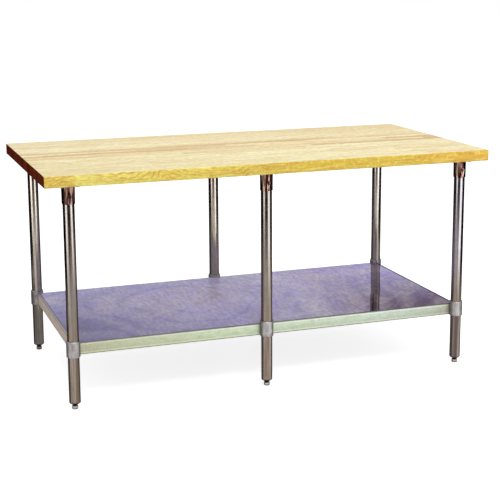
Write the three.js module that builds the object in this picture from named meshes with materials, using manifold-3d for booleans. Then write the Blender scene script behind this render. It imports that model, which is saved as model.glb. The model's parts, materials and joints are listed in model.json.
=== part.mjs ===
// Butcher-block work table: a laminated maple top on six tubular steel legs, with an adjustable
// folded-steel undershelf that is clamped to the legs and levelling feet screwed into their ends.
// Millimetres, +Z up. The origin is on the floor under the centre of the top; X runs along the
// table and -Y is its front.

import * as THREE from 'three';
import { RoundedBoxGeometry } from 'three/addons/geometries/RoundedBoxGeometry.js';
import { mergeVertices } from 'three/addons/utils/BufferGeometryUtils.js';
import Module from 'manifold-3d';

const wasm = await Module();
wasm.setup();

// ---------------------------------------------------------------- driving dimensions

const seatGap = 0.3; // left between two pieces that seat on each other
const slideGap = 0.4; // round the legs, in the sockets and collars

const workHeight = 914.4;
const topLength = 1828.8;
const topWidth = 914.4;
const topThickness = 44.45;
const topEdgeEase = 3;
const topEdgeSteps = 2;

const legDiameter = 44.45;
const legWall = 1.5;
const legEndInset = 99; // from the end of the top to the leg's axis
const legSideInset = 61; // from the long edge of the top to the leg's axis
const frontMiddleShift = 35; // the front middle leg stands this far left of the centre line

const socketHeight = 72; // from the underside of the top to the mouth
const socketPlateThickness = 3;
const socketPlateMargin = 14; // plate beyond the root of the barrel
const socketPlateCorner = 10;
const socketMouthWall = 2.4;
const socketRootWall = 3;
const socketFlare = 3; // cast fillet between barrel and plate
const socketScrewHeight = 33; // set screw above the mouth
const lagHoleRadius = 3.2;

const bossWall = 3.5; // round a set screw
const bossStand = 2.5; // boss beyond the barrel or ring

const screwRadius = 3.2;
const screwClearance = 0.2;
const screwKey = 3.2; // hexagon, across flats
const screwKeyDepth = 3.5;

const insertDepth = 30; // plug inside the leg
const insertTaper = 8; // visible cone under the leg
const insertChamfer = 2;
const stemRadius = 6;
const stemLength = 36;
const footRadius = 12;
const footHeight = 14;
const footRounding = 4;
const footRoundingSteps = 3;
const footChamfer = 1;
const footNutHeight = 6;
const footNutFlats = 18; // hexagon, across flats

const shelfHeight = 258; // top face above the floor
const shelfSheet = 1.5;
const shelfFold = 2.5; // fold radius at the middle of the sheet
const shelfFlange = 49;
const shelfLip = 12;
const shelfSideSetback = 10; // side flange inside the line of the leg axes
const shelfEndSetback = 1; // end flange inside the line of the leg axes

const stiffenerWidth = 50;
const stiffenerDepth = 22;
const stiffenerBrim = 20;
const stiffenerEndGap = 10; // from the shelf's lips

const channelWidth = 64; // of the cross channels under the top
const channelDepth = 19;
const channelBrim = 20;
const channelEndGap = 8; // from the socket plates

const collarWall = 4;
const collarRise = 12; // above the shelf
const collarDrop = 2; // below the shelf's flange
const collarChamfer = 1.5;
const earLength = 36; // beyond the ring
const earThickness = 3;
const earMargin = 2; // between an ear and the sheet above and below it

const roundSteps = 28;
const footSteps = 20; // round a foot and its plug
const screwSteps = 12;
const cornerSteps = 3; // round a quarter of a socket plate's corner
const foldSteps = 3;

const overlap = 1; // of two bodies that are joined into one
const overshoot = 1; // of a cutting tool past the face that it cuts
const weldDistance = 1e-4;

// ---------------------------------------------------------------- derived places

const legRadius = legDiameter / 2;
const topUnderside = workHeight - topThickness;
const legX = topLength / 2 - legEndInset;
const legY = topWidth / 2 - legSideInset;

const footTop = footHeight + footNutHeight;
const insertBottom = footTop + seatGap;
const legBottom = insertBottom + insertTaper + seatGap;
const legTop = topUnderside - 2 * seatGap - socketPlateThickness;

const boreRadius = legRadius + slideGap;
const socketMouthRadius = boreRadius + socketMouthWall;
const socketRootRadius = boreRadius + socketRootWall;
const socketPlateHalf = socketRootRadius + socketPlateMargin;
const collarRadius = boreRadius + collarWall;
const screwHoleRadius = screwRadius + screwClearance;
const screwTip = legRadius + seatGap; // distance of a set screw's tip from the leg's axis

// Each leg's place, the turn that points its socket's screw out of the table, and the turn
// that points its collar's ears and screw into the shelf.
const stations = [
  { name: 'front_left', x: -legX, y: -legY, outwards: 0, inwards: 0 },
  { name: 'front_center', x: -frontMiddleShift, y: -legY, outwards: 0, inwards: 0 },
  { name: 'front_right', x: legX, y: -legY, outwards: 0, inwards: Math.PI / 2 },
  { name: 'back_right', x: legX, y: legY, outwards: Math.PI, inwards: Math.PI },
  { name: 'back_center', x: 0, y: legY, outwards: Math.PI, inwards: Math.PI },
  { name: 'back_left', x: -legX, y: legY, outwards: Math.PI, inwards: -Math.PI / 2 },
];

// ---------------------------------------------------------------- materials

const material = (color, roughness, metalness) =>
  new THREE.MeshStandardMaterial({ color, roughness, metalness, flatShading: true });

const maple = material(0xe6d29c, 0.5, 0);
const tubeSteel = material(0x9c9890, 0.3, 1);
const castMetal = material(0xb4b4b8, 0.42, 1);
const socketMetal = material(0x9a8a84, 0.35, 1);
const shelfSteel = material(0x9b96a8, 0.35, 1);
const screwSteel = material(0x4c4a48, 0.4, 1);
const footSteel = material(0xb9b6b2, 0.3, 1);
const plugMetal = material(0x564c44, 0.5, 1);

// ---------------------------------------------------------------- solid tools

function toSolid(geometry) {
  const bare = geometry.clone();
  bare.deleteAttribute('normal');
  bare.deleteAttribute('uv');
  const merged = mergeVertices(bare, weldDistance);
  return new wasm.Manifold(
    new wasm.Mesh({
      numProp: 3,
      vertProperties: merged.getAttribute('position').array,
      triVerts: new Uint32Array(merged.index.array),
    }),
  );
}

function toGeometry(solid) {
  const { vertProperties, triVerts } = solid.getMesh();
  return new THREE.BufferGeometry()
    .setAttribute('position', new THREE.BufferAttribute(vertProperties, 3))
    .setIndex(new THREE.BufferAttribute(triVerts, 1));
}

const join = (first, ...others) =>
  toGeometry(others.reduce((solid, other) => solid.add(toSolid(other)), toSolid(first)));

const cut = (body, ...tools) =>
  toGeometry(tools.reduce((solid, tool) => solid.subtract(toSolid(tool)), toSolid(body)));

// A profile of [radius, height] pairs turned about Z.
function revolve(profile, steps) {
  const points = profile.map(([radius, height]) => new THREE.Vector2(radius, height));
  return new THREE.LatheGeometry(points, steps).rotateX(Math.PI / 2);
}

// A bar of n sides from one height to another along Z.
function bar(radius, bottom, top, sides) {
  return new THREE.CylinderGeometry(radius, radius, top - bottom, sides)
    .rotateX(Math.PI / 2)
    .translate(0, 0, (bottom + top) / 2);
}

// A bar that lies along +Y, from one distance to another.
function spoke(radius, near, far, sides) {
  return new THREE.CylinderGeometry(radius, radius, far - near, sides).translate(
    0,
    (near + far) / 2,
    0,
  );
}

// A block given by its span along each axis.
function block([x0, x1], [y0, y1], [z0, z1]) {
  return new THREE.BoxGeometry(x1 - x0, y1 - y0, z1 - z0).translate(
    (x0 + x1) / 2,
    (y0 + y1) / 2,
    (z0 + z1) / 2,
  );
}

// A shape drawn in Y and Z, drawn out along X and centred there.
function alongX(shape, length) {
  const yzx = new THREE.Matrix4().makeBasis(
    new THREE.Vector3(0, 1, 0),
    new THREE.Vector3(0, 0, 1),
    new THREE.Vector3(1, 0, 0),
  );
  return new THREE.ExtrudeGeometry(shape, { depth: length, bevelEnabled: false })
    .translate(0, 0, -length / 2)
    .applyMatrix4(yzx);
}

// A shape drawn in X and Z, drawn out along Y between two places.
function alongY(shape, near, far) {
  return new THREE.ExtrudeGeometry(shape, {
    depth: far - near,
    bevelEnabled: false,
    curveSegments: screwSteps / 2,
  })
    .rotateX(Math.PI / 2)
    .translate(0, far, 0);
}

// The cut edge of a sheet that follows a path of square folds, as one closed outline.
function foldedSheet(path, thickness) {
  const middle = [];
  const place = (point, direction) =>
    middle.push({ point, normal: new THREE.Vector2(-direction.y, direction.x) });
  const corners = path.map(([u, v]) => new THREE.Vector2(u, v));
  corners.forEach((corner, i) => {
    const arrive = i > 0 && corner.clone().sub(corners[i - 1]).normalize();
    const leave = i < corners.length - 1 && corners[i + 1].clone().sub(corner).normalize();
    if (!arrive || !leave) {
      place(corner, arrive || leave);
      return;
    }
    const centre = corner.clone().addScaledVector(leave, shelfFold);
    centre.addScaledVector(arrive, -shelfFold);
    for (let step = 0; step <= foldSteps; step += 1) {
      const turn = ((Math.PI / 2) * step) / foldSteps;
      const along = arrive.clone().multiplyScalar(Math.cos(turn));
      along.addScaledVector(leave, Math.sin(turn));
      const outwards = arrive.clone().multiplyScalar(Math.sin(turn));
      outwards.addScaledVector(leave, -Math.cos(turn));
      place(centre.clone().addScaledVector(outwards, shelfFold), along);
    }
  });
  const side = (offset) =>
    middle.map(({ point, normal }) => point.clone().addScaledVector(normal, offset));
  return new THREE.Shape([...side(-thickness / 2), ...side(thickness / 2).reverse()]);
}

// ---------------------------------------------------------------- the pieces

function butcherBlockTop() {
  const middle = topUnderside + topThickness / 2;
  const block = [topLength, topWidth, topThickness];
  return new RoundedBoxGeometry(...block, topEdgeSteps, topEdgeEase).translate(0, 0, middle);
}

// A square with rounded corners, and a hole near each corner.
function socketPlateShape() {
  const arm = socketPlateHalf - socketPlateCorner;
  const shape = new THREE.Shape();
  [0, 1, 2, 3].forEach((quarter) => {
    const start = (Math.PI / 2) * quarter;
    const [cx, cy] = [[arm, arm], [-arm, arm], [-arm, -arm], [arm, -arm]][quarter];
    shape.absarc(cx, cy, socketPlateCorner, start, start + Math.PI / 2);
    const hole = new THREE.Path();
    hole.absarc(cx, cy, lagHoleRadius, 0, 2 * Math.PI);
    shape.holes.push(hole);
  });
  return shape;
}

// The pad that a socket's set screw goes through: it runs from the mouth up round the screw.
function socketPadShape(mouth, screwZ) {
  const half = screwRadius + bossWall;
  const shape = new THREE.Shape();
  shape.moveTo(-half, mouth);
  shape.lineTo(half, mouth);
  shape.absarc(0, screwZ, half, 0, Math.PI);
  return shape;
}

// Measured down from the underside of the top, with the leg's axis as its own.
function legSocket() {
  const plateTop = -seatGap;
  const root = plateTop - socketPlateThickness;
  const mouth = -socketHeight;
  const screwZ = mouth + socketScrewHeight;
  const plate = new THREE.ExtrudeGeometry(socketPlateShape(), {
    depth: socketPlateThickness,
    bevelEnabled: false,
    curveSegments: cornerSteps,
  }).translate(0, 0, root);
  const barrel = revolve(
    [
      [0, mouth],
      [socketMouthRadius - collarChamfer, mouth],
      [socketMouthRadius, mouth + collarChamfer],
      [socketRootRadius, root - 2 * socketFlare],
      [socketRootRadius + socketFlare / 3, root - socketFlare],
      [socketRootRadius + socketFlare, root],
      [socketRootRadius + socketFlare, plateTop],
      [0, plateTop],
    ],
    roundSteps,
  );
  const padFace = -(socketRootRadius + bossStand);
  const pad = alongY(socketPadShape(mouth, screwZ), padFace, 0);
  return cut(
    join(plate, barrel, pad),
    bar(boreRadius, mouth - overshoot, root, roundSteps),
    spoke(screwHoleRadius, padFace - overshoot, 0, screwSteps).translate(0, 0, screwZ),
  );
}

// A headless screw along +Y from its tip against the leg to its keyed end.
function setScrew(keyedEnd) {
  const keyRadius = screwKey / 2 / Math.cos(Math.PI / 6);
  return cut(
    spoke(screwRadius, screwTip, keyedEnd, screwSteps),
    spoke(keyRadius, keyedEnd - screwKeyDepth, keyedEnd + overshoot, 6),
  );
}

function legTube() {
  const inner = legRadius - legWall;
  return revolve(
    [
      [inner, legBottom],
      [legRadius, legBottom],
      [legRadius, legTop],
      [inner, legTop],
      [inner, legBottom],
    ],
    roundSteps,
  );
}

// The plug pressed into a leg's lower end, with the threaded hole that takes the foot.
function legInsert() {
  const plug = legRadius - legWall - seatGap;
  const shoulder = legBottom - seatGap;
  const thread = stemRadius + slideGap;
  const plugTop = legBottom + insertDepth;
  return revolve(
    [
      [thread, insertBottom],
      [footRadius + insertChamfer, insertBottom],
      [legRadius, shoulder - insertChamfer],
      [legRadius, shoulder],
      [plug, shoulder],
      [plug, plugTop],
      [thread, plugTop],
      [thread, insertBottom],
    ],
    footSteps,
  );
}

// A levelling foot: a rounded bullet, a hexagon for the spanner and the screwed stem.
function bulletFoot() {
  const profile = [[0, 0]];
  for (let step = 0; step <= footRoundingSteps; step += 1) {
    const turn = ((Math.PI / 2) * step) / footRoundingSteps;
    const inwards = footRounding * (1 - Math.sin(turn));
    profile.push([footRadius - inwards, footRounding * (1 - Math.cos(turn))]);
  }
  profile.push([footRadius, footHeight - footChamfer]);
  profile.push([footRadius - footChamfer, footHeight]);
  profile.push([0, footHeight]);
  const nutRadius = footNutFlats / 2 / Math.cos(Math.PI / 6);
  const nut = bar(nutRadius, footHeight - overlap, footTop, 6);
  const stem = bar(stemRadius, footTop - overlap, footTop + stemLength, footSteps);
  return join(revolve(profile, footSteps), nut, stem);
}

// The inverted tray: two long flanged sides, two flanged ends, cut out round the six collars.
function undershelf() {
  const halfLength = legX - shelfEndSetback - shelfSheet / 2;
  const halfWidth = legY - shelfSideSetback - shelfSheet / 2;
  const sheetZ = -shelfSheet / 2;
  const lipZ = shelfSheet / 2 - shelfFlange;
  const tray = foldedSheet(
    [
      [shelfLip - halfWidth, lipZ],
      [-halfWidth, lipZ],
      [-halfWidth, sheetZ],
      [halfWidth, sheetZ],
      [halfWidth, lipZ],
      [halfWidth - shelfLip, lipZ],
    ],
    shelfSheet,
  );
  const end = foldedSheet(
    [
      [shelfLip - halfLength, lipZ],
      [-halfLength, lipZ],
      [-halfLength, sheetZ],
      [4 * shelfFold - halfLength, sheetZ],
    ],
    shelfSheet,
  );
  const leftEnd = alongY(end, -halfWidth, halfWidth);
  const rightEnd = leftEnd.clone().rotateZ(Math.PI);
  const notches = stations.map(({ x, y }) =>
    bar(collarRadius + seatGap, -shelfFlange - overshoot, overshoot, roundSteps).translate(x, y, 0),
  );
  const body = join(alongX(tray, 2 * (halfLength - shelfFold)), leftEnd, rightEnd);
  return cut(body, ...notches).translate(0, 0, shelfHeight);
}

// A hat section that lies brim up against a face at height 0.
function hatSection(width, depth, brim) {
  const half = width / 2;
  const brimZ = -seatGap - shelfSheet / 2;
  const crownZ = brimZ - depth + shelfSheet;
  return foldedSheet(
    [
      [-half - brim, brimZ],
      [-half, brimZ],
      [-half, crownZ],
      [half, crownZ],
      [half, brimZ],
      [half + brim, brimZ],
    ],
    shelfSheet,
  );
}

// The hat section under the middle of the shelf, which stops the sheet from sagging.
function shelfStiffener() {
  const hat = hatSection(stiffenerWidth, stiffenerDepth, stiffenerBrim);
  const length = 2 * (legX - shelfEndSetback - shelfLip - stiffenerEndGap);
  return alongX(hat, length).translate(0, 0, shelfHeight - shelfSheet);
}

// The hat section across the underside of the top, between a front and a back socket.
function crossChannel() {
  const hat = hatSection(channelWidth, channelDepth, channelBrim);
  const length = 2 * (legY - socketPlateHalf - channelEndGap);
  return alongX(hat, length).rotateZ(Math.PI / 2).translate(0, 0, topUnderside);
}

// A collar with two ears that lie inside the shelf's flanges, and a boss for its set screw.
// The ears of a corner collar point along +X and +Y, each inside the flange with its setback;
// those of a middle collar, which has no second setback, point both ways along X.
function shelfCollar(setback, crossSetback) {
  const top = collarRise;
  const bottom = -shelfFlange - collarDrop;
  const ring = revolve(
    [
      [0, bottom],
      [collarRadius - collarChamfer, bottom],
      [collarRadius, bottom + collarChamfer],
      [collarRadius, top - collarChamfer],
      [collarRadius - collarChamfer, top],
      [0, top],
    ],
    roundSteps,
  );
  const corner = crossSetback !== undefined;
  const reach = collarRadius + earLength;
  const inside = (flange) => {
    const near = flange + shelfSheet + seatGap;
    return [near, near + earThickness];
  };
  const height = [earMargin + shelfSheet - shelfFlange, -shelfSheet - earMargin];
  const ears = [block([corner ? 0 : -reach, reach], inside(setback), height)];
  if (corner) {
    ears.push(block(inside(crossSetback), [0, reach], height));
  }
  const screwZ = (height[0] + height[1]) / 2;
  const inwards = corner ? -Math.PI / 4 : 0;
  const boss = spoke(screwRadius + bossWall, 0, collarRadius + bossStand, screwSteps);
  const hole = spoke(screwHoleRadius, 0, collarRadius + bossStand + overshoot, screwSteps);
  return cut(
    join(ring, ...ears, boss.rotateZ(inwards).translate(0, 0, screwZ)),
    bar(boreRadius, bottom - overshoot, top + overshoot, roundSteps),
    hole.rotateZ(inwards).translate(0, 0, screwZ),
  );
}

// ---------------------------------------------------------------- the table

const table = new THREE.Group();

function add(name, geometry, finish, x = 0, y = 0, z = 0, turn = 0) {
  const mesh = new THREE.Mesh(geometry, finish);
  mesh.name = name;
  mesh.position.set(x, y, z);
  mesh.rotation.z = turn;
  table.add(mesh);
}

add('butcher_block_top', butcherBlockTop(), maple);
add('undershelf', undershelf(), shelfSteel);
add('shelf_stiffener', shelfStiffener(), shelfSteel);

const channel = crossChannel();
add('cross_channel_left', channel, shelfSteel, -legX);
add('cross_channel_center', channel, shelfSteel, -frontMiddleShift / 2);
add('cross_channel_right', channel, shelfSteel, legX);

const socket = legSocket();
const socketScrew = setScrew(socketRootRadius + bossStand);
const tube = legTube();
const insert = legInsert();
const foot = bulletFoot();
const leftFirstCollar = shelfCollar(shelfSideSetback, shelfEndSetback);
const rightFirstCollar = shelfCollar(shelfEndSetback, shelfSideSetback);
const middleCollar = shelfCollar(shelfSideSetback);
const collarScrew = setScrew(collarRadius + bossStand);
const socketScrewZ = topUnderside - socketHeight + socketScrewHeight;
const collarScrewZ = shelfHeight - shelfFlange / 2;

stations.forEach(({ name, x, y, outwards, inwards }) => {
  const corner = Math.abs(x) === legX;
  const cornerCollar = x * y > 0 ? leftFirstCollar : rightFirstCollar;
  const screwTurn = corner ? inwards - Math.PI / 4 : inwards;
  add(`leg_socket_${name}`, socket, socketMetal, x, y, topUnderside, outwards);
  add(`socket_set_screw_${name}`, socketScrew, screwSteel, x, y, socketScrewZ, outwards + Math.PI);
  add(`leg_${name}`, tube, tubeSteel, x, y);
  add(`leg_insert_${name}`, insert, plugMetal, x, y);
  add(`bullet_foot_${name}`, foot, footSteel, x, y);
  add(`shelf_collar_${name}`, corner ? cornerCollar : middleCollar, castMetal, x, y, shelfHeight, inwards);
  add(`collar_set_screw_${name}`, collarScrew, screwSteel, x, y, collarScrewZ, screwTurn);
});

export default table;
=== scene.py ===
"""The finished look of the butcher-block table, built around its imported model. Metres, +Z up."""

import json
import math

import bmesh
import bpy
from mathutils import Matrix, Vector

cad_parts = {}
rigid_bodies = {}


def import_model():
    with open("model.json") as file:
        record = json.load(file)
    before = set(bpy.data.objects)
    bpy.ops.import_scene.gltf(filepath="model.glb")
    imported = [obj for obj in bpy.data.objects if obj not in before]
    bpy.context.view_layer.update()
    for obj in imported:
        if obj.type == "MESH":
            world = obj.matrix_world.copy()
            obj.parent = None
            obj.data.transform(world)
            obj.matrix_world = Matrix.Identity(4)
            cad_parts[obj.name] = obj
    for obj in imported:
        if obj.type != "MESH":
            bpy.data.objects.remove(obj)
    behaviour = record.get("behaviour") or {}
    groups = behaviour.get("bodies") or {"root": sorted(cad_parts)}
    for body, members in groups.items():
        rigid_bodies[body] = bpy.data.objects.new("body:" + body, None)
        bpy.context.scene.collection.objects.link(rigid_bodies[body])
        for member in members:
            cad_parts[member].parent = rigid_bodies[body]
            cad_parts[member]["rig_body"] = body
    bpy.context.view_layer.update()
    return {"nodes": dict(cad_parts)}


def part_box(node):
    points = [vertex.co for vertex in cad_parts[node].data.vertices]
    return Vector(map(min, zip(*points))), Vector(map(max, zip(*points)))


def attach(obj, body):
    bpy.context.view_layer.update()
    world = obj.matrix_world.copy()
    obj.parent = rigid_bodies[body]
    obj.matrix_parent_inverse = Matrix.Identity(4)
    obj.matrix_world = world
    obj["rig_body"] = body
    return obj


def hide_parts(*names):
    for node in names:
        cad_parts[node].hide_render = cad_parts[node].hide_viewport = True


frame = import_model()
TOP_LOW, TOP_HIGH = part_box("butcher_block_top")
SHELF_LOW, SHELF_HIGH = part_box("undershelf")

SQUARE_ON = (0.55, 0.75)  # share of a normal along an axis where its face begins to count, and does

# ---------------------------------------------------------------- the wood

STAVE_WIDTH = 0.0381
STAVE_BLOCK_MIN = 0.25  # shortest and longest block in a stave
STAVE_BLOCK_MAX = 0.95
STAVE_SLIDE = 7.0  # blocks by which a stave's joints can be moved along
STAVE_SEED = (3.7, 1.3)  # which draw of random numbers the staves and the blocks take
BLOCK_SEED = 5.1
BLOCK_JUMP = 40.0  # how far apart the grain of two blocks can be taken
BLOCK_CONTRAST = [(0.25, 0.55), (0.45, 0.72), (0.60, 0.72), (0.72, 0.34)]  # by place across the top
GLUE_LINE = 0.0006
DARK_STAVE = 10  # counted from the front: one short block in it is much darker
DARK_PLACE = 0.35  # X of that block's middle
DARK_REACH = 0.055  # half its length
DARKER_WOOD = (0.76, 0.63, 0.48, 1)  # what dark and pale grain multiply the face's colour by
PALER_WOOD = (1.09, 1.13, 1.30, 1)
OVAL_SLOPE = 0.05  # how flat the growth rings lie along the staves
OVAL_RING = 0.009
OVAL_WARP = 0.03
HEART_DEPTH = 0.03  # of the growth rings' middle below the underside, seen at the ends
HEART_WANDER = 0.09  # how far sideways it can lie
EDGE_STRETCH = 3.6  # how fast the long edges' figure changes along the table
EDGE_SWELL = 0.25  # how much its growth lines rise and fall
EDGE_RINGS = (  # spacing, from where to where in a ring it shows, how strongly, colour
    (0.019, 0.3, 1.0, 0.72, (176, 124, 42)),
    (0.0052, 0.1, 1.0, 0.22, (186, 134, 56)),
)
EDGE_LENGTHS = [(0.0, 0.1), (0.06, 0.5), (0.34, 0.9), (0.62, 0.3), (0.83, 0.7)]  # start, seed
EDGE_JOINT = [(0.0, 0.0), (0.0590, 0.4), (0.0596, 0.0)]  # the one joint that shows

# ---------------------------------------------------------------- the shelf

CREAM_PATCHES = [((-0.14, 0.08), 0.36), ((0.40, 0.14), 0.30), ((-0.36, -0.08), 0.20)]  # centre, reach
# what the top's colour is multiplied by: painted shade that darkens the front, where the key lamp
# lights it most; painted light that lifts the back, which the table top shades; and in the glossy
# end a lighter tint of the painted reflection in place of both
PAINTED_TOP_SHADE = [(0.0, 0.49), (0.22, 0.57), (0.5, 0.88), (0.72, 1.0)]  # from the front to the back
BACK_PAINTED_LIGHT = (1.12, 1.16, 1.14, 1)
GLOSSY_END_TINT = (1.22, 1.26, 0.92, 1)
# lines of painted highlight and painted shade along the shelf's folds and rims, and a pale strip at
# its left end
PAINTED_HEM_HIGHLIGHT = (0.0075, 0.0022)  # its middle's height above the flanges' lower edge, half its width
HEM_SHADOW = (0.0045, 0.003)  # heights above that edge where it begins and is full
PAINTED_FOLD_HIGHLIGHT = (0.0078, 0.0020)  # its middle's depth below the top, half its width
PAINTED_FOLD_SHADE = (0.0055, 0.0035)  # depths below the top where it begins and is full
RIM_LINE = (0.0055, 0.0025)  # distances from the rim where it begins and is full
END_LINE = (0.0075, 0.0035)  # its middle's distance from the short rims, half its width
BARE_END = (0.0045, 0.0035)  # distances from the short rims where it begins and is full
RIM_REACH = 0.1  # as far from the rim as distances are measured

# ---------------------------------------------------------------- the pieces

STATIONS = [
    "front_left",
    "front_center",
    "front_right",
    "back_right",
    "back_center",
    "back_left",
]
CHANNELS = ["left", "center", "right"]
STATION_PIECES = (  # node, material, bevel, and whether it is round about its leg's axis
    ("leg_", "leg", 0.0004, True),
    ("leg_insert_", "plug", 0.0006, True),
    ("leg_socket_", "socket", 0.0006, True),
    ("shelf_collar_", "collar", 0.0006, True),
    ("bullet_foot_", "foot", 0.0004, True),
    ("socket_set_screw_", "screw", 0.0002, False),
    ("collar_set_screw_", "screw", 0.0002, False),
)
TOP_BEVEL = 0.0006
SHEET_BEVEL = 0.0003

SHARP_ANGLE = math.radians(32)  # edges that turn more than this stay crisp
FLAT_ANGLE = math.radians(0.5)  # faces that meet at less than this become one
WELD = 1e-6
SAME_PLACE = 1e-5
LEVEL_DIGITS = 6  # to which two heights are the same
LONGEST_CHORD = 0.45  # of the radius: a longer level edge is a flat, not part of a circle

SOCKET_PLATE = 0.003
CHANNEL_SHEET = 0.0015
CHANNEL_SCREWS = (0.04, 0.35, 0.65, 0.96)  # shares of a channel's length
LAG_INSET = 0.010  # from the rim of a plate or brim to a screw
LAG_GAP = 0.0001
LAG_BEVEL = 0.0003
LAG_HEAD_RADIUS = 0.0064
LAG_HEAD_HEIGHT = 0.0020
LAG_HEAD_SIDES = 6
WASHER_RADIUS = 0.0082
WASHER_THICKNESS = 0.0008
WASHER_SIDES = 24

# ---------------------------------------------------------------- the studio

CAMERA_PLACE = Vector((-1.660, -4.815, 1.658))
CAMERA_YAW = math.radians(19.41)  # towards +X
CAMERA_PITCH = math.radians(10.81)  # downwards
CAMERA_ROLL = math.radians(-0.29)
CAMERA_LENS = 88.15
CAMERA_SENSOR = 36
CAMERA_SHIFT = -0.1  # down, which keeps the legs nearly parallel
CAMERA_CLIP = 200

LAMP_AIM = Vector((0, 0, 0.5))
LAMPS = (  # name, place, size, power
    ("key", (-0.4, -3.9, 5.7), (4.0, 3.0), 262),
    ("fill", (4.5, -4.0, 3.5), (3.0, 3.0), 50),
)
WHITE = (1, 1, 1, 1)
WORLD_WHITE = 1.0
WORLD_FILL = 0.55
FLOOR_HALF = 30
FLOOR_GLOW = 0.80
FLOOR_GLOW_IN_METAL = 0.40

CARD_WHITE = (0.9, 0.9, 0.92, 1)
CARD_LIFT = 0.004
CARD_STEPS = 24
CARD_REACH = (1.6, 12.0)
RING_CARDS = (  # name, bearings from the front in degrees, strength, distances it fades in between
    ("card_dark_front", -41, 3, 0.01, (2.3, 3.6)),
    ("card_bright_right", 12, 47, 4.2, (1.6, 2.9)),
    ("card_dark_right", 47, 149, 0.01, (1.6, 2.6)),
    ("card_bright_back", 149, 173, 2.0, (2.0, 3.1)),
    ("card_dark_left", 173, 283, 0.01, (1.6, 2.6)),
    ("card_bright_left", 283, 309, 4.4, (2.9, 4.3)),
)
LOW_CARD_LIFT = CARD_LIFT / 2
LOW_CARD_HALF = 2.0  # along the table
LOW_CARDS = (  # name, where it begins and ends in Y, strength
    # the dark card under the table is a painted shadow: the table's shadow on the floor, as seen in
    # the metal
    ("card_painted_shadow_under", -0.40, 0.42, 0.30),
    ("card_dark_behind", 0.42, 2.0, 0.12),
)


# ---------------------------------------------------------------- material tools


class Graph:
    """The node tree of a new material or world, with one short call for each kind of node."""

    def __init__(self, name, is_world=False):
        self.output = "OutputWorld" if is_world else "OutputMaterial"
        self.owner = (bpy.data.worlds if is_world else bpy.data.materials).new(name)
        self.owner.use_nodes = True
        self.tree = self.owner.node_tree
        self.tree.nodes.clear()

    def add(self, kind, inputs=(), **settings):
        node = self.tree.nodes.new("ShaderNode" + kind)
        for key, value in settings.items():
            setattr(node, key, value)
        for key, value in dict(inputs).items():
            self.feed(node.inputs[key], value)
        return node

    def feed(self, socket, value):
        if isinstance(value, bpy.types.NodeSocket):
            self.tree.links.new(value, socket)
        else:
            socket.default_value = value

    def math(self, operation, a, b=0.0, c=0.0, clamp=False):
        node = self.add("Math", {0: a, 1: b, 2: c}, operation=operation, use_clamp=clamp)
        return node.outputs[0]

    def product(self, first, *others):
        for other in others:
            first = self.math("MULTIPLY", first, other)
        return first

    def remap(self, value, low, high, to_low=0.0, to_high=1.0):
        inputs = {0: value, 1: low, 2: high, 3: to_low, 4: to_high}
        return self.add("MapRange", inputs).outputs[0]

    def colours(self, factor, a, b, blend="MIX"):
        node = self.add("Mix", data_type="RGBA", blend_type=blend)
        self.feed(node.inputs[0], factor)
        self.feed(node.inputs[6], a)
        self.feed(node.inputs[7], b)
        return node.outputs[2]

    def tinted(self, colour, tint, figure, start, full, most):
        """The colour with a tint over it: none where the figure is at start, most where full."""
        return self.colours(self.remap(figure, start, full, 0, most), colour, rgba(tint))

    def ramp(self, factor, stops, interpolation="LINEAR"):
        """A colour for each place: sRGB 0 to 255 when it is a tuple, a level when it is not."""
        node = self.add("ValToRGB", {0: factor})
        node.color_ramp.interpolation = interpolation
        elements = node.color_ramp.elements
        while len(elements) < len(stops):
            elements.new(0.5)
        for element, (place, colour) in zip(elements, stops):
            element.position = place
            element.color = rgba(colour) if isinstance(colour, tuple) else (colour,) * 3 + (1.0,)
        return node.outputs[0]

    def place(self):
        """The place in the piece's own coordinates."""
        return self.add("TexCoord").outputs["Object"]

    def facing(self):
        """1 on faces that look along X, 1 on those that look along Y, and how far faces look up."""
        x, y, z = self.split(self.add("NewGeometry").outputs["Normal"])
        along_x, along_y = [self.remap(self.math("ABSOLUTE", axis), *SQUARE_ON) for axis in (x, y)]
        return along_x, along_y, z

    def split(self, vector):
        return self.add("SeparateXYZ", {0: vector}).outputs

    def vector(self, x, y, z=0.0):
        return self.add("CombineXYZ", {0: x, 1: y, 2: z}).outputs[0]

    def length(self, vector):
        return self.add("VectorMath", {0: vector}, operation="LENGTH").outputs["Value"]

    def stretched(self, vector, scale):
        return self.add("Mapping", {0: vector, 3: scale}).outputs[0]

    def noise(self, vector, scale, detail=3.0, roughness=0.55, distortion=0.0):
        """Soft noise, of one scale or of one for each axis."""
        if isinstance(scale, tuple):
            vector, scale = self.stretched(vector, scale), 1.0
        inputs = {"Vector": vector, "Scale": scale, "Detail": detail}
        inputs |= {"Roughness": roughness, "Distortion": distortion}
        return self.add("TexNoise", inputs).outputs[0]

    def bump(self, height, strength, distance, normal=None):
        inputs = {"Height": height, "Strength": strength, "Distance": distance}
        if normal is not None:
            inputs["Normal"] = normal
        return self.add("Bump", inputs).outputs[0]

    def finish(self, shader):
        output = self.add(self.output)
        self.tree.links.new(shader, output.inputs[0])
        return self.owner


def rgba(colour):
    """A colour given as sRGB 0 to 255, as linear RGBA."""
    linear = []
    for channel in colour:
        c = channel / 255
        linear.append(c / 12.92 if c <= 0.04045 else ((c + 0.055) / 1.055) ** 2.4)
    return (*linear, 1.0)


def random_of(g, vector):
    """Three random numbers, the same wherever the vector is the same."""
    node = g.add("TexWhiteNoise", {"Vector": vector}, noise_dimensions="3D")
    return g.add("SeparateColor", {0: node.outputs["Color"]}).outputs


def line_mask(g, phase, period, width):
    """1 on a line of that width at every whole number of the phase, 0 elsewhere."""
    fraction = g.math("FRACT", phase)
    nearest = g.math("MINIMUM", fraction, g.math("SUBTRACT", 1.0, fraction))
    metres = g.math("MULTIPLY", nearest, period)
    return g.remap(metres, width * 0.5, width * 1.2, 1.0, 0.0)


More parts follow.
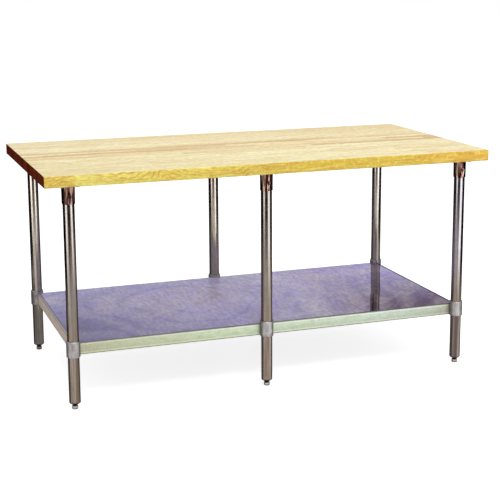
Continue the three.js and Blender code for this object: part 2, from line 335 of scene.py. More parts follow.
def ring_figure(g, along, across, centre, warp):
    """Growth rings that dip through a flat-sawn face, as long nested ovals round a centre."""
    run = g.math("MULTIPLY", g.math("SUBTRACT", along, centre[0]), OVAL_SLOPE)
    rise = g.math("SUBTRACT", across, centre[1])
    square = g.math("ADD", g.math("MULTIPLY", run, run), g.math("MULTIPLY", rise, rise))
    radius = g.math("ADD", g.math("SQRT", square), warp)
    return g.math("SINE", g.math("MULTIPLY", radius, math.tau / OVAL_RING))


def seen_rays(g, rays):
    """1 for the camera's own rays, for reflections and for what is seen through glass."""
    seen = g.math("MAXIMUM", rays["Is Camera Ray"], rays["Is Glossy Ray"])
    return g.math("MAXIMUM", seen, rays["Is Transmission Ray"])


# ---------------------------------------------------------------- materials


class Staves:
    """The top's staves along X, each of blocks with butt joints: where a place lies in them,
    random numbers for its stave and its block, and the glue lines."""

    def __init__(self, g, x, y):
        phase = g.math("DIVIDE", g.math("SUBTRACT", y, TOP_LOW.y), STAVE_WIDTH)
        self.stave = g.math("FLOOR", phase)
        self.across = g.math("MULTIPLY", g.math("FRACT", phase), STAVE_WIDTH)
        self.random = random_of(g, g.vector(self.stave, *STAVE_SEED))
        block_length = g.remap(self.random[0], 0, 1, STAVE_BLOCK_MIN, STAVE_BLOCK_MAX)
        slide = g.math("MULTIPLY", self.random[1], STAVE_SLIDE)
        block_phase = g.math("ADD", g.math("DIVIDE", x, block_length), slide)
        block = g.math("FLOOR", block_phase)
        self.block_random = random_of(g, g.vector(self.stave, block, BLOCK_SEED))
        self.glue = line_mask(g, phase, STAVE_WIDTH, GLUE_LINE)
        joints = line_mask(g, block_phase, block_length, GLUE_LINE)
        self.seams = g.math("MAXIMUM", self.glue, joints)


class Grain:
    """Grain that starts afresh in each block."""

    def __init__(self, g, place, x, staves):
        jump = [g.math("MULTIPLY", staves.block_random[i], BLOCK_JUMP) for i in (1, 2)]
        local = g.add("VectorMath", {0: place, 1: g.vector(*jump)}, operation="ADD").outputs[0]
        self.streak = g.noise(local, (4.5, 60, 60), 4.0, 0.7)
        self.fibre = g.noise(local, (10, 600, 500), 2.0, 0.7)
        self.lines = g.noise(local, (7, 230, 200), 3.0, 0.7)
        self.grit = g.noise(local, (45, 90, 80), 2.0)
        self.cloud = g.noise(local, (9, 26, 20), 3.0, 0.6)
        self.flecks = g.noise(local, (60, 800, 900), 1.0)
        bend = g.noise(local, (3, 12, 9), 2.0)
        heart = (0.0, g.math("MULTIPLY", staves.block_random[2], STAVE_WIDTH))
        oval = ring_figure(g, x, staves.across, heart, g.math("MULTIPLY", bend, OVAL_WARP))
        flat_sawn = g.remap(staves.block_random[1], 0.55, 0.6)
        self.oval = g.math("MULTIPLY", g.remap(oval, 0.2, 1.0, 0, 0.32), flat_sawn)


def maple_blocks(g, place, x, across, staves):
    """The colour of each block: a pale front, a tan band in the middle and a golden back, with
    painted shade darkening the front and the left end.
    """
    warmth = g.ramp(across, [
        (0.0, 0.16),
        (0.40, 0.10),
        (0.425, 0.58),
        (0.50, 0.60),
        (0.56, 0.40),
        (0.66, 0.16),
        (0.78, 0.22),
        (0.90, 0.36),
        (1.0, 0.24),
    ])
    odd = g.math("POWER", staves.block_random[0], 2.2)
    tone = g.math("ADD", warmth, g.math("MULTIPLY", odd, g.ramp(across, BLOCK_CONTRAST)))
    drift = g.noise(place, (1.3, 5.0, 1), 2.0)
    tone = g.math("ADD", tone, g.remap(drift, 0.35, 0.65, -0.10, 0.12))
    in_stave = g.math("COMPARE", staves.stave, DARK_STAVE, 0.5)
    in_reach = g.math("COMPARE", x, DARK_PLACE, DARK_REACH)
    tone = g.math("ADD", tone, g.product(in_stave, in_reach, 0.55), clamp=True)
    face = g.ramp(tone, [
        (0.0, (245, 241, 198)),
        (0.25, (245, 236, 194)),
        (0.50, (242, 228, 182)),
        (0.75, (233, 213, 162)),
        (1.0, (210, 183, 132)),
    ])
    # painted shade: the front and the left end made darker, where the key lamp lights the top most
    near = g.product(g.remap(across, 0.55, 0.0), g.remap(x, 0.6, -0.6, 0.5, 1.0), 0.75)
    face = g.colours(near, face, rgba((214, 206, 158)))
    golden = g.product(g.remap(across, 0.5, 1.0), g.remap(x, -0.8, 0.8, 0.35, 1.0), 0.68)
    return g.colours(golden, face, rgba((238, 212, 152)))


def maple_face(g, place, x, y, staves, grain):
    """The top and the underside."""
    across = g.remap(y, TOP_LOW.y, TOP_HIGH.y)
    face = maple_blocks(g, place, x, across, staves)
    vivid = g.remap(across, 0.6, 0.9, 1.0, 0.5)
    for figure, darkest, palest in ((grain.streak, 0.62, 0.90), (grain.lines, 0.50, 0.60)):
        dark = g.math("MULTIPLY", g.remap(figure, 0.48, 0.66, 0, darkest), vivid)
        pale = g.math("MULTIPLY", g.remap(figure, 0.46, 0.30, 0, palest), vivid)
        face = g.colours(dark, face, DARKER_WOOD, "MULTIPLY")
        face = g.colours(pale, face, PALER_WOOD, "MULTIPLY")
    face = g.colours(1.0, face, g.remap(grain.grit, 0.32, 0.68, 0.87, 1.13), "MULTIPLY")
    face = g.tinted(face, (222, 198, 150), grain.cloud, 0.52, 0.68, 0.42)
    face = g.colours(grain.oval, face, rgba((212, 178, 126)))
    face = g.tinted(face, (200, 168, 116), grain.fibre, 0.60, 0.85, 0.40)
    face = g.tinted(face, (178, 140, 92), grain.flecks, 0.66, 0.76, 0.45)
    return g.colours(g.math("MULTIPLY", staves.seams, 0.45), face, rgba((168, 130, 82)))


def maple_edge(g, place, x, z):
    """The long edges: flat-sawn wood in five lengths, from lemon to orange along the table."""
    along = g.remap(x, TOP_LOW.x, TOP_HIGH.x)
    edge = g.ramp(along, [
        (0.0, (222, 192, 94)),
        (0.055, (226, 204, 102)),
        (0.065, (230, 216, 118)),
        (0.28, (230, 210, 102)),
        (0.45, (215, 190, 84)),
        (0.62, (213, 181, 66)),
        (0.80, (220, 190, 78)),
        (0.88, (226, 184, 76)),
        (1.0, (230, 184, 76)),
    ])
    jump = g.math("MULTIPLY", g.ramp(along, EDGE_LENGTHS, "CONSTANT"), BLOCK_JUMP)
    run = g.math("ADD", g.math("MULTIPLY", x, EDGE_STRETCH), jump)
    swell = g.noise(g.vector(run, g.math("MULTIPLY", z, 9.0)), 1.0, 3.0, 0.5, 0.6)
    depth = g.math("ADD", z, g.math("MULTIPLY", swell, EDGE_SWELL))
    patch = g.noise(place, (5.0, 1, 9), 3.0)
    strength = g.remap(patch, 0.44, 0.60, 0.08, 1.0)
    for spacing, start, full, most, colour in EDGE_RINGS:
        rings = g.math("SINE", g.math("MULTIPLY", depth, math.tau / spacing))
        shown = g.math("MULTIPLY", g.remap(rings, start, full, 0, most), strength)
        edge = g.colours(shown, edge, rgba(colour))
    streak = g.noise(place, (9.0, 1, 190), 4.0, 0.7)
    edge = g.tinted(edge, (194, 150, 62), streak, 0.50, 0.68, 0.50)
    edge = g.tinted(edge, (252, 236, 132), streak, 0.48, 0.30, 0.75)
    mottle = g.noise(place, (75, 1, 100), 2.0)
    edge = g.tinted(edge, (186, 142, 52), mottle, 0.52, 0.70, 0.30)
    edge = g.tinted(edge, (252, 236, 132), mottle, 0.46, 0.32, 0.38)
    blotch = g.noise(place, (14, 1, 40), 2.0)
    edge = g.tinted(edge, (196, 136, 56), blotch, 0.58, 0.70, 0.45)
    joint = g.ramp(along, EDGE_JOINT, "CONSTANT")
    return g.colours(joint, edge, rgba((168, 120, 48)))


def maple_end_painted_shade(g, place, z, staves):
    """The short ends: growth rings in each stave, darkened with painted shade."""
    wander = g.math("MULTIPLY", staves.random[2], HEART_WANDER)
    sideways = g.math("ADD", staves.across, wander)
    from_heart = g.vector(sideways, g.math("SUBTRACT", z, TOP_LOW.z - HEART_DEPTH))
    rings = g.add("TexWave", {
        "Vector": from_heart, "Scale": 60.0, "Distortion": 1.2, "Detail Scale": 3.0,
    }, wave_type="RINGS", rings_direction="Z").outputs[1]
    # the end grain's deep reds and browns are painted shade
    end = g.colours(g.math("MULTIPLY", rings, 0.75), rgba((102, 32, 16)), rgba((52, 12, 5)))
    end = g.colours(g.math("MULTIPLY", staves.random[0], 0.45), end, rgba((134, 66, 44)))
    pores = g.noise(place, 900.0, 2.0)
    end = g.tinted(end, (44, 12, 9), pores, 0.5, 0.75, 0.5)
    return g.colours(g.math("MULTIPLY", staves.glue, 0.6), end, rgba((34, 10, 8)))


def maple():
    """Glued maple: blocks on its faces, flat grain on the long edges, end grain darkened with
    painted shade on the ends.
    """
    g = Graph("maple")
    place = g.place()
    x, y, z = g.split(place)
    staves = Staves(g, x, y)
    grain = Grain(g, place, x, staves)
    on_end, on_edge, _ = g.facing()
    face = maple_face(g, place, x, y, staves, grain)
    colour = g.colours(on_edge, face, maple_edge(g, place, x, z))
    colour = g.colours(on_end, colour, maple_end_painted_shade(g, place, z, staves))
    wear = g.remap(g.noise(place, 9.0, 3.0), 0.3, 0.7, 0.42, 0.54)
    rough = g.math("ADD", wear, g.math("MULTIPLY", grain.fibre, 0.08))
    rough = g.math("ADD", rough, g.math("MULTIPLY", on_end, 0.3), clamp=True)
    relief = g.bump(staves.seams, -0.25, 0.0004)
    relief = g.bump(grain.streak, 0.15, 0.0006, relief)
    inputs = {"Base Color": colour, "Roughness": rough, "Normal": relief}
    inputs |= {"Specular IOR Level": g.remap(on_end, 0, 1, 0.12, 0.0)}
    return g.finish(g.add("BsdfPrincipled", inputs).outputs[0])


def polished(g, colour, roughness, normal, edge_tint):
    """Bare metal whose rims go darker than its face."""
    inputs = {"Base Color": colour, "Roughness": roughness, "Normal": normal}
    inputs |= {"Metallic": 1.0, "Specular Tint": (edge_tint, edge_tint, edge_tint, 1)}
    return g.finish(g.add("BsdfPrincipled", inputs).outputs[0])


def tube_steel():
    """Drawn tube with lengthwise streaks: greyer upwards, paler on the back legs with painted
    light, and browner and stained near the floor."""
    g = Graph("leg_tube_steel")
    place = g.place()
    x, y, height = g.split(place)
    grey = g.ramp(g.remap(height, 0.0, TOP_LOW.z), [
        (0.0, (132, 114, 99)),
        (0.28, (134, 118, 103)),
        (0.50, (134, 125, 116)),
        (1.0, (137, 130, 127)),
    ])
    cool = g.math("MULTIPLY", g.remap(x, 0.55, 0.8), g.remap(height, 0.25, 0.5, 0, 0.6))
    grey = g.colours(cool, grey, rgba((148, 144, 156)))
    # painted light: the back legs made paler, against the dark cards they reflect
    behind = g.remap(y, 0.2, 0.3, 0, g.remap(height, 0.5, 0.8, 0.62, 0.25))
    grey = g.colours(behind, grey, rgba((196, 187, 170)))
    foot_end = g.remap(height, 0.26, 0.20)
    dim = g.product(g.remap(x, 0.5, 0.8), foot_end, 0.85)
    grey = g.colours(dim, grey, rgba((106, 92, 90)))
    streak = g.noise(place, (260, 260, 2.2), 3.0, 0.6)
    broad = g.noise(place, (70, 70, 1.4), 2.0, 0.5)
    grime = g.noise(place, (60, 60, 26), 4.0, 0.65)
    colour = g.tinted(grey, (104, 90, 78), streak, 0.40, 0.70, 0.42)
    twice_below = g.remap(foot_end, 0, 1, 1.0, 2.0)
    pale = g.math("MULTIPLY", g.remap(broad, 0.48, 0.30, 0, 0.35), twice_below)
    colour = g.colours(pale, colour, rgba((190, 184, 178)))
    stain = g.math("MULTIPLY", g.remap(broad, 0.50, 0.66, 0, 0.55), foot_end)
    colour = g.colours(stain, colour, rgba((88, 74, 66)))
    colour = g.tinted(colour, (112, 92, 74), grime, 0.50, 0.75, 0.35)
    roughness = g.remap(grime, 0.3, 0.7, 0.09, 0.20)
    return polished(g, colour, roughness, g.bump(streak, 0.03, 0.0004), 0.25)


def casting(name, light, dark, rough, scale=(40, 40, 40), tint=0.35, relief=0.16,
            spread=(0.35, 0.68), drift=0.0):
    """Cast metal: a fine pebbled skin, darker in its pits, and with drift darker towards +X."""
    g = Graph(name)
    place = g.place()
    cloud = g.noise(place, scale, 4.0, 0.6)
    cloud = g.math("ADD", cloud, g.math("MULTIPLY", g.split(place)[0], drift))
    pebble = g.noise(place, 620.0, 3.0, 0.65)
    pits = g.add("TexVoronoi", {"Vector": place, "Scale": 420.0}).outputs["Distance"]
    colour = g.colours(g.remap(cloud, *spread), rgba(light), rgba(dark))
    colour = g.colours(g.remap(pits, 0.35, 0.10, 0, 0.30), colour, rgba(dark))
    roughness = g.remap(pebble, 0.3, 0.7, *rough)
    return polished(g, colour, roughness, g.bump(pebble, relief, 0.0003), tint)


def wiping_marks(g, place, x, y):
    """The rings and the diagonal streaks that a cloth leaves."""
    warp = g.noise(place, (2.2, 2.6, 1), 2.0)
    warped = g.vector(g.math("ADD", x, g.math("MULTIPLY", warp, 0.5)), y, warp)
    rings = g.add("TexWave", {
        "Vector": warped, "Scale": 2.3, "Distortion": 5.0, "Detail": 3.0, "Detail Scale": 1.4,
    }, wave_type="RINGS", rings_direction="Z").outputs[1]
    diagonal = g.vector(g.math("ADD", x, y), g.math("SUBTRACT", y, x))
    streaks = g.noise(diagonal, (2.4, 9, 1), 5.0, 0.62, 1.2)
    return rings, streaks


def top_cream(g, place, streaks, gloss):
    """Where the top is paler: thinly along the streaks, and more in a few wide patches."""
    cream = g.remap(streaks, 0.50, 0.64, 0, g.remap(gloss, 0, 1, 0.14, 0.26))
    for centre, reach in CREAM_PATCHES:
        middle = (*centre, SHELF_HIGH.z)
        offset = g.add("VectorMath", {0: place, 1: middle}, operation="SUBTRACT").outputs[0]
        away = g.length(g.stretched(offset, (1, 1.3, 0)))
        inside = g.remap(away, reach, 0.2 * reach)
        patch = g.math("MULTIPLY", inside, g.remap(streaks, 0.40, 0.58, 0.08, 0.50))
        cream = g.math("MAXIMUM", cream, patch)
    return cream


def shelf_top_reflection_and_marks(g, place, x, y, along, gloss, cloud, grain):
    """The shelf's top: lavender, a painted reflection that goes deeper violet at the left end and
    darker at the front-right corner, under painted shade and painted light, with the marks a cloth
    leaves.
    """
    far = g.remap(y, SHELF_LOW.y, SHELF_HIGH.y)
    rings, streaks = wiping_marks(g, place, x, y)
    reflection_and_marks = g.ramp(g.remap(cloud, 0.34, 0.66), [
        (0.0, (182, 174, 246)),
        (0.45, (194, 187, 254)),
        (0.75, (206, 199, 255)),
        (1.0, (218, 210, 254)),
    ])
    # the painted reflection goes deeper violet towards the left end and darker at the front-right
    # corner
    left = g.product(g.remap(along, 0.40, 0.06), g.remap(far, 1.2, 0.3), 0.78)
    reflection_and_marks = g.colours(left, reflection_and_marks, rgba((100, 96, 152)))
    near = g.product(g.remap(along, 0.55, 0.82), g.remap(far, 0.8, 0.1), 0.93)
    reflection_and_marks = g.colours(near, reflection_and_marks, rgba((100, 85, 96)))
    reflection_and_marks = g.colours(g.math("MULTIPLY", rings, 0.28), reflection_and_marks, rgba((206, 196, 212)))
    arcs = g.math("MULTIPLY", g.remap(rings, 0.20, 0.02, 0, 0.22), g.remap(gloss, 0, 1, 1, 0.3))
    reflection_and_marks = g.colours(arcs, reflection_and_marks, rgba((122, 110, 156)))
    reflection_and_marks = g.colours(top_cream(g, place, streaks, gloss), reflection_and_marks, rgba((218, 206, 204)))
    # painted shade towards the front and painted light at the back
    painted_light_and_shade = g.ramp(far, PAINTED_TOP_SHADE)
    painted_light_and_shade = g.colours(g.remap(far, 0.55, 0.9), painted_light_and_shade, BACK_PAINTED_LIGHT)
    painted_light_and_shade = g.colours(gloss, painted_light_and_shade, GLOSSY_END_TINT)
    reflection_and_marks = g.colours(1.0, reflection_and_marks, painted_light_and_shade, "MULTIPLY")
    mottle = g.noise(place, (75, 26, 1), 2.0, 0.6)
    reflection_and_marks = g.colours(1.0, reflection_and_marks, g.remap(mottle, 0.34, 0.66, 0.83, 1.17), "MULTIPLY")
    return g.colours(1.0, reflection_and_marks, g.remap(grain, 0.34, 0.66, 0.86, 1.14), "MULTIPLY")


def shelf_flanges(g, z, along, spangle, grain):
    """The shelf's long sides: bare zinc, with painted highlights below the fold and above the hem,
    and painted shade at the hem.
    """
    zinc = g.ramp(along, [
        (0.0, (172, 168, 142)),
        (0.10, (182, 186, 156)),
        (0.35, (187, 200, 170)),
        (0.55, (182, 195, 173)),
        (0.80, (177, 190, 176)),
        (0.93, (164, 174, 160)),
        (1.0, (152, 143, 128)),
    ])
    zinc = g.tinted(zinc, (164, 166, 132), spangle, 0.48, 0.70, 0.55)
    zinc = g.tinted(zinc, (230, 236, 218), grain, 0.5, 0.70, 0.50)
    # painted highlights: a pale stripe above the hem and one below the fold
    hem_highlight = g.math("COMPARE", z, SHELF_LOW.z + PAINTED_HEM_HIGHLIGHT[0], PAINTED_HEM_HIGHLIGHT[1])
    zinc = g.colours(g.math("MULTIPLY", hem_highlight, 0.45), zinc, rgba((226, 234, 208)))
    fold_highlight = g.math("COMPARE", z, SHELF_HIGH.z - PAINTED_FOLD_HIGHLIGHT[0], PAINTED_FOLD_HIGHLIGHT[1])
    zinc = g.colours(g.math("MULTIPLY", fold_highlight, 0.50), zinc, rgba((222, 224, 212)))
    # painted shade along the hem
    hem = g.remap(z, *(SHELF_LOW.z + height for height in HEM_SHADOW), 0, 0.75)
    return g.colours(hem, zinc, rgba((122, 118, 94)))


def shelf_edges(g, colour, x, y, z, up, on_top, gloss):
    """The lines that run round the top: painted shade on its bends, just below its fold, along its
    rim and near its two ends, and a paler strip at its left end.
    """
    # painted shade on the folds' bends
    bend = g.product(g.remap(up, 0.10, 0.40), g.remap(up, 0.99, 0.90), 0.8)
    colour = g.colours(bend, colour, rgba((78, 70, 84)))
    # painted shade just below the fold
    under_fold = g.remap(z, *(SHELF_HIGH.z - depth for depth in PAINTED_FOLD_SHADE))
    fold_shade = g.product(under_fold, g.remap(up, 0.9, 0.8), 0.8)
    colour = g.colours(fold_shade, colour, rgba((92, 88, 88)))
    insets = []
    for along, end in ((x, SHELF_HIGH.x), (y, SHELF_HIGH.y)):
        outwards = g.math("ABSOLUTE", along)
        insets.append(g.remap(outwards, end, end - RIM_REACH, 0, RIM_REACH))
    inset = g.math("MINIMUM", *insets)
    # painted shade along the top's rim
    rim = g.math("MULTIPLY", g.remap(inset, *RIM_LINE, 0, 0.55), on_top)
    colour = g.colours(rim, colour, rgba((84, 76, 100)))
    # painted shade along the top's short ends
    from_end = g.math("SUBTRACT", SHELF_HIGH.x, g.math("ABSOLUTE", x))
    at_end = g.math("COMPARE", from_end, *END_LINE)
    end_line = g.product(at_end, g.remap(x, -0.1, 0.1, 0.7, 0.95), on_top)
    end_colour = g.colours(gloss, rgba((78, 72, 84)), rgba((44, 40, 48)))
    colour = g.colours(end_line, colour, end_colour)
    bare = g.remap(from_end, *BARE_END, 0, 0.7)
    bare = g.product(bare, g.remap(up, 0.3, 0.6), g.remap(x, 0.1, -0.1))
    return g.colours(bare, colour, rgba((206, 202, 208)))


def shelf_sheet():
    """Sheet steel whose top has a lavender colour as a painted reflection, glossy towards the
    right-hand end and scuffed elsewhere, with painted highlights and painted shade along its folds
    and rims, and bare zinc on its sides and underneath."""
    g = Graph("shelf_sheet")
    place = g.place()
    x, y, z = g.split(place)
    cloud = g.noise(place, (1.6, 3.2, 1), 4.0, 0.55, 0.6)
    grain = g.noise(place, (150, 60, 200), 4.0, 0.75)
    spangle = g.noise(place, (34, 34, 60), 4.0, 0.65)
    along = g.remap(x, SHELF_LOW.x, SHELF_HIGH.x)
    gloss = g.remap(g.math("ADD", along, g.remap(cloud, 0.3, 0.7, -0.06, 0.06)), 0.62, 0.72)
    on_end, _, up = g.facing()
    on_top = g.remap(up, 0.80, 0.96)

    scuffed = g.remap(spangle, 0.4, 0.7, 0, 0.6)
    end_zinc = g.colours(scuffed, rgba((240, 220, 204)), rgba((204, 186, 170)))
    side = g.colours(on_end, shelf_flanges(g, z, along, spangle, grain), end_zinc)
    patches = g.remap(spangle, 0.35, 0.65)
    under = g.colours(patches, rgba((176, 178, 176)), rgba((148, 150, 150)))
    side = g.colours(g.remap(up, -0.7, -0.9), side, under)
    reflection_and_marks = shelf_top_reflection_and_marks(g, place, x, y, along, gloss, cloud, grain)
    colour = g.colours(on_top, side, reflection_and_marks)
    colour = shelf_edges(g, colour, x, y, z, up, on_top, gloss)

    top_rough = g.remap(grain, 0.3, 0.7, 0.40, 0.44)
    top_rough = g.math("SUBTRACT", top_rough, g.math("MULTIPLY", gloss, 0.39))
    side_rough = g.remap(spangle, 0.3, 0.7, 0.42, 0.55)
    roughness = g.add("Mix", {0: on_top, 2: side_rough, 3: top_rough}).outputs[0]
    matt = g.math("MULTIPLY", on_top, g.remap(gloss, 0, 1, 0.93, 0.0))
    matt = g.math("ADD", matt, g.math("MULTIPLY", on_end, 0.75))
    metal = g.math("SUBTRACT", 1.0, matt)
    relief = g.math("MULTIPLY", grain, g.remap(gloss, 0, 1, 1.0, 0.04))
    inputs = {"Base Color": colour, "Roughness": roughness, "Metallic": metal}
    inputs |= {"Normal": g.bump(relief, 0.05, 0.0003), "Specular IOR Level": 0.3}
    inputs |= {"Specular Tint": (0.45, 0.42, 0.55, 1)}
    return g.finish(g.add("BsdfPrincipled", inputs).outputs[0])


def galvanised_sheet():
    """Hot-dip zinc, with patches of flat crystals."""
    g = Graph("galvanised_sheet")
    place = g.place()
    crystal = g.add("TexVoronoi", {"Vector": place, "Scale": 90.0})
    tone = g.add("SeparateColor", {0: crystal.outputs["Color"]}).outputs[0]
    colour = g.colours(tone, rgba((186, 190, 196)), rgba((148, 152, 160)))
    rust = g.noise(place, 26.0, 5.0, 0.6)
    colour = g.tinted(colour, (150, 138, 124), rust, 0.60, 0.80, 0.35)
    roughness = g.remap(tone, 0, 1, 0.32, 0.5)
    return polished(g, colour, roughness, g.bump(rust, 0.05, 0.0004), 0.6)


def foot_metal():
    """Bright turned steel, darkened with painted shade in its groove, at its hexagon and at its
    lower rim.
    """
    g = Graph("foot_metal")
    place = g.place()
    height = g.split(place)[2]
    grime = g.noise(place, 260.0, 4.0, 0.6)
    level = g.math("ADD", height, g.remap(grime, 0.3, 0.7, -0.0008, 0.0008))
    # painted shade at the lower rim, in the groove and at the hexagon; the steel's own brightness
    # between
    colour = g.ramp(g.remap(level, 0.0, 0.026), [
        (0.0, (60, 50, 46)),
        (0.10, (90, 80, 76)),
        (0.20, (158, 149, 147)),
        (0.48, (196, 189, 190)),
        (0.56, (120, 108, 102)),
        (0.66, (66, 56, 52)),
        (1.0, (84, 74, 68)),
    ])
    turning = g.noise(place, (20, 20, 2500), 2.0)
    colour = g.tinted(colour, (150, 142, 138), turning, 0.5, 0.75, 0.3)
    roughness = g.remap(grime, 0.3, 0.7, 0.12, 0.28)
    return polished(g, colour, roughness, g.bump(turning, 0.05, 0.0002), 0.15)


def floor_white():
    """Pale and matt; to the camera and in reflections it glows just enough to read as white."""
    g = Graph("floor_white")
    grain = g.noise(g.place(), 30.0, 4.0)
    colour = g.colours(grain, rgba((204, 204, 205)), rgba((210, 210, 210)))
    matt = g.add("BsdfDiffuse", {"Color": colour})
    rays = g.add("LightPath").outputs
    level = g.remap(rays["Is Glossy Ray"], 0, 1, FLOOR_GLOW, FLOOR_GLOW_IN_METAL)
    glow = g.add("Emission", {"Color": WHITE, "Strength": level})
    both = g.add("AddShader", {0: matt.outputs[0], 1: glow.outputs[0]})
    mix = {0: seen_rays(g, rays), 1: matt.outputs[0], 2: both.outputs[0]}
    return g.finish(g.add("MixShader", mix).outputs[0])


def card_material(name, strength, fade):
    """A faintly clouded card that glows. It may fade in between two distances from the middle."""
    g = Graph(name)
    place = g.place()
    colour = g.colours(g.noise(place, 1.5, 1.0), CARD_WHITE, WHITE)
    glow = g.add("Emission", {"Color": colour, "Strength": strength})
    if fade is None:
        return g.finish(glow.outputs[0])
    clear = g.add("BsdfTransparent")
    shown = g.remap(g.length(place), *fade)
    mix = {0: shown, 1: clear.outputs[0], 2: glow.outputs[0]}
    return g.finish(g.add("MixShader", mix).outputs[0])


MATERIALS = {
    "butcher_block_top": maple(),
    "leg": tube_steel(),
    # the plug's dark colour is partly its own and partly painted shade, for the floor's shadow that
    # the leg's lower end reflects
    "plug": casting("leg_plug", (86, 76, 68), (52, 44, 40), (0.35, 0.5)),
    # the socket's light and dark colours, drawn out into upright stripes, are painted highlights
    # and painted reflection bands on the cast metal
    "socket": casting(
        "socket_casting", (194, 156, 134), (50, 28, 30), (0.07, 0.14),
        scale=(150, 150, 10), tint=0.15, relief=0.06, spread=(0.39, 0.53), drift=0.03),
    "collar": casting(
        "collar_casting", (180, 178, 181), (143, 133, 128), (0.28, 0.42),
        scale=(60, 60, 60), tint=0.15),
    "shelf": shelf_sheet(),
    "galvanised": galvanised_sheet(),
    "foot": foot_metal(),
    "lag": casting(
        "lag_screw_zinc", (176, 170, 150), (120, 112, 94), (0.25, 0.4), scale=(200, 200, 200)),
    "screw": casting("screw_steel", (62, 56, 54), (30, 27, 26), (0.35, 0.5)),
}


# ---------------------------------------------------------------- pieces


def new_object(name, bm, material):
    """An object in the scene from a finished bmesh, in one material."""
    mesh = bpy.data.meshes.new(name)
    bm.to_mesh(mesh)
    bm.free()
    mesh.materials.append(material)
    piece = bpy.data.objects.new(name, mesh)
    bpy.context.scene.collection.objects.link(piece)
    return piece


def add_bevel(piece, width):
    rounding = piece.modifiers.new("rounding", "BEVEL")
    rounding.width = width
    rounding.segments = 2
    rounding.limit_method = "ANGLE"
    return rounding


def round_off(bm, axis):
    """Puts two more points on each chord round an upright axis, out on the true circle."""
    def reach(vertex):
        return (vertex.co - axis).xy.length

    def level(vertex):
        return round(vertex.co.z, LEVEL_DIGITS)

    chords = []
    for edge in bm.edges:
        a, b = edge.verts
        flat = abs(a.co.z - b.co.z) < SAME_PLACE and abs(reach(a) - reach(b)) < SAME_PLACE
        if flat and edge.calc_length() < LONGEST_CHORD * reach(a):
            chords.append(edge)
    old = {vertex: reach(vertex) for edge in chords for vertex in edge.verts}
    radii = {level(vertex): [] for vertex in old}
    for vertex, radius in old.items():
        radii[level(vertex)].append(radius)
    known = set(bm.verts)
    bmesh.ops.subdivide_edges(bm, edges=chords, cuts=2, use_grid_fill=True)
    for vertex in bm.verts:
        near = radii.get(level(vertex))
        if vertex in known or not near:
            continue
        radius = min(near, key=lambda r: abs(r - reach(vertex)))
        outwards = (vertex.co - axis).xy
        outwards *= radius / outwards.length
        vertex.co.x, vertex.co.y = axis.x + outwards.x, axis.y + outwards.y


def refined(node, material, bevel, axis=None):
    """A copy of a CAD node with rounded edges and smooth curves, which stands for the node."""
    bm = bmesh.new()
    bm.from_mesh(frame["nodes"][node].data)
    bmesh.ops.remove_doubles(bm, verts=bm.verts, dist=WELD)
    bmesh.ops.dissolve_limit(bm, angle_limit=FLAT_ANGLE, verts=bm.verts, edges=bm.edges)
    if axis is not None:
        round_off(bm, axis)
    for face in bm.faces:
        face.smooth = True
    for edge in bm.edges:
        edge.smooth = edge.calc_face_angle(0) < SHARP_ANGLE
    piece = new_object(node + "_skin", bm, material)
    rounding = add_bevel(piece, bevel)
    rounding.angle_limit = SHARP_ANGLE
    rounding.harden_normals = True
    body = frame["nodes"][node]["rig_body"]
    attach(piece, body)
    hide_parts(node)


refined("butcher_block_top", MATERIALS["butcher_block_top"], TOP_BEVEL)
refined("undershelf", MATERIALS["shelf"], SHEET_BEVEL)
refined("shelf_stiffener", MATERIALS["galvanised"], SHEET_BEVEL)
for side in CHANNELS:
    refined("cross_channel_" + side, MATERIALS["galvanised"], SHEET_BEVEL)
for station in STATIONS:
    leg_low, leg_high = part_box("leg_" + station)
    leg_axis = (leg_low + leg_high) / 2
    for node, material, bevel, is_round in STATION_PIECES:
        refined(node + station, MATERIALS[material], bevel, leg_axis if is_round else None)


def add_prism(bm, centre, radius, bottom, top, sides):
    """An upright prism as a closed body of its own."""
    turns = [math.tau * i / sides for i in range(sides)]
    points = [(centre[0] + radius * math.cos(turn), centre[1] + radius * math.sin(turn))
              for turn in turns]
    low = [bm.verts.new((*point, bottom)) for point in points]
    high = [bm.verts.new((*point, top)) for point in points]
    bm.faces.new(reversed(low))
    bm.faces.new(high)
    for i in range(sides):
        j = (i + 1) % sides
        bm.faces.new((low[i], low[j], high[j], high[i]))


def lag_seats():
    """Where each lag screw's washer sits: under the sockets' plates and the channels' brims."""
    seats = []
    for station in STATIONS:
        low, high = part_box("leg_socket_" + station)
        for x in (low.x + LAG_INSET, high.x - LAG_INSET):
            for y in (low.y + LAG_INSET, high.y - LAG_INSET):
                seats.append((x, y, high.z - SOCKET_PLATE))
    for side in CHANNELS:
        low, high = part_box("cross_channel_" + side)
        for x in (low.x + LAG_INSET, high.x - LAG_INSET):
            for share in CHANNEL_SCREWS:
                seats.append((x, low.y + (high.y - low.y) * share, high.z - CHANNEL_SHEET))
    return seats


def lag_screws():
    """The hexagon-headed screws, each on its washer, that hold the sockets and the cross
    channels up against the top."""
    bm = bmesh.new()
    for x, y, seat in lag_seats():
        top = seat - LAG_GAP
        add_prism(bm, (x, y), WASHER_RADIUS, top - WASHER_THICKNESS, top, WASHER_SIDES)
        top -= WASHER_THICKNESS + LAG_GAP
        add_prism(bm, (x, y), LAG_HEAD_RADIUS, top - LAG_HEAD_HEIGHT, top, LAG_HEAD_SIDES)
    piece = new_object("lag_screws", bm, MATERIALS["lag"])
    add_bevel(piece, LAG_BEVEL)
    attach(piece, "frame")


lag_screws()


# ---------------------------------------------------------------- studio


def add_floor():
    bm = bmesh.new()
    bmesh.ops.create_grid(bm, x_segments=1, y_segments=1, size=FLOOR_HALF)
    floor = new_object("floor", bm, floor_white())


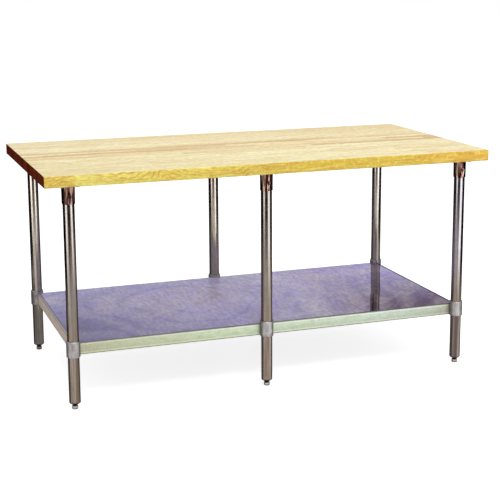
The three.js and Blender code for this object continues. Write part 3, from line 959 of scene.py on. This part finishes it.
def add_card(name, rows, strength, lift, fade=None):
    """A card on the floor that shows in reflections only, as a strip between rows of two
    points: a bright or dark studio card for the polished metal."""
    bm = bmesh.new()
    rows = [[bm.verts.new((*point, lift)) for point in row] for row in rows]
    for here, there in zip(rows, rows[1:]):
        bm.faces.new((here[0], here[1], there[1], there[0]))
    card = new_object(name, bm, card_material(name, strength, fade))
    card.visible_camera = False
    card.visible_diffuse = False
    card.visible_shadow = False
    card.visible_transmission = False


def ring_sector(start, end):
    """Rows of points round the studio between two bearings from the front, in degrees."""
    rows = []
    for i in range(CARD_STEPS + 1):
        bearing = math.radians(start + (end - start) * i / CARD_STEPS)
        east, north = math.sin(bearing), -math.cos(bearing)
        rows.append([(east * reach, north * reach) for reach in CARD_REACH])
    return rows


def add_lamp(name, place, size, power):
    """A soft area lamp that points at the middle of the table."""
    lamp = bpy.data.lights.new(name, "AREA")
    lamp.shape = "RECTANGLE"
    lamp.size, lamp.size_y = size
    lamp.energy = power
    holder = bpy.data.objects.new(name, lamp)
    holder.location = place
    aim = LAMP_AIM - Vector(place)
    holder.rotation_euler = aim.to_track_quat("-Z", "Y").to_euler()
    bpy.context.scene.collection.objects.link(holder)


def add_world():
    """White to the camera, in reflections and through glass; softer where it only lights."""
    g = Graph("studio", is_world=True)
    fill = g.add("Background", {0: WHITE, 1: WORLD_FILL})
    white = g.add("Background", {0: WHITE, 1: WORLD_WHITE})
    seen = seen_rays(g, g.add("LightPath").outputs)
    mix = g.add("MixShader", {0: seen, 1: fill.outputs[0], 2: white.outputs[0]})
    bpy.context.scene.world = g.finish(mix.outputs[0])


def add_camera():
    camera = bpy.data.cameras.new("camera")
    camera.sensor_width = CAMERA_SENSOR
    camera.lens = CAMERA_LENS
    camera.shift_y = CAMERA_SHIFT
    camera.clip_end = CAMERA_CLIP
    holder = bpy.data.objects.new("camera", camera)
    turn = Matrix.Rotation(-CAMERA_YAW, 4, "Z")
    tilt = Matrix.Rotation(math.pi / 2 - CAMERA_PITCH, 4, "X")
    roll = Matrix.Rotation(CAMERA_ROLL, 4, "Z")
    holder.matrix_world = Matrix.Translation(CAMERA_PLACE) @ turn @ tilt @ roll
    bpy.context.scene.collection.objects.link(holder)
    bpy.context.scene.camera = holder


add_floor()
add_world()
for name, place, size, power in LAMPS:
    add_lamp(name, place, size, power)
for name, start, end, strength, fade in RING_CARDS:
    add_card(name, ring_sector(start, end), strength, CARD_LIFT, fade)
for name, near, far, strength in LOW_CARDS:
    corners = [[(x, y) for y in (near, far)] for x in (-LOW_CARD_HALF, LOW_CARD_HALF)]
    add_card(name, corners, strength, LOW_CARD_LIFT)
add_camera()
bpy.context.scene.view_settings.view_transform = "Standard"
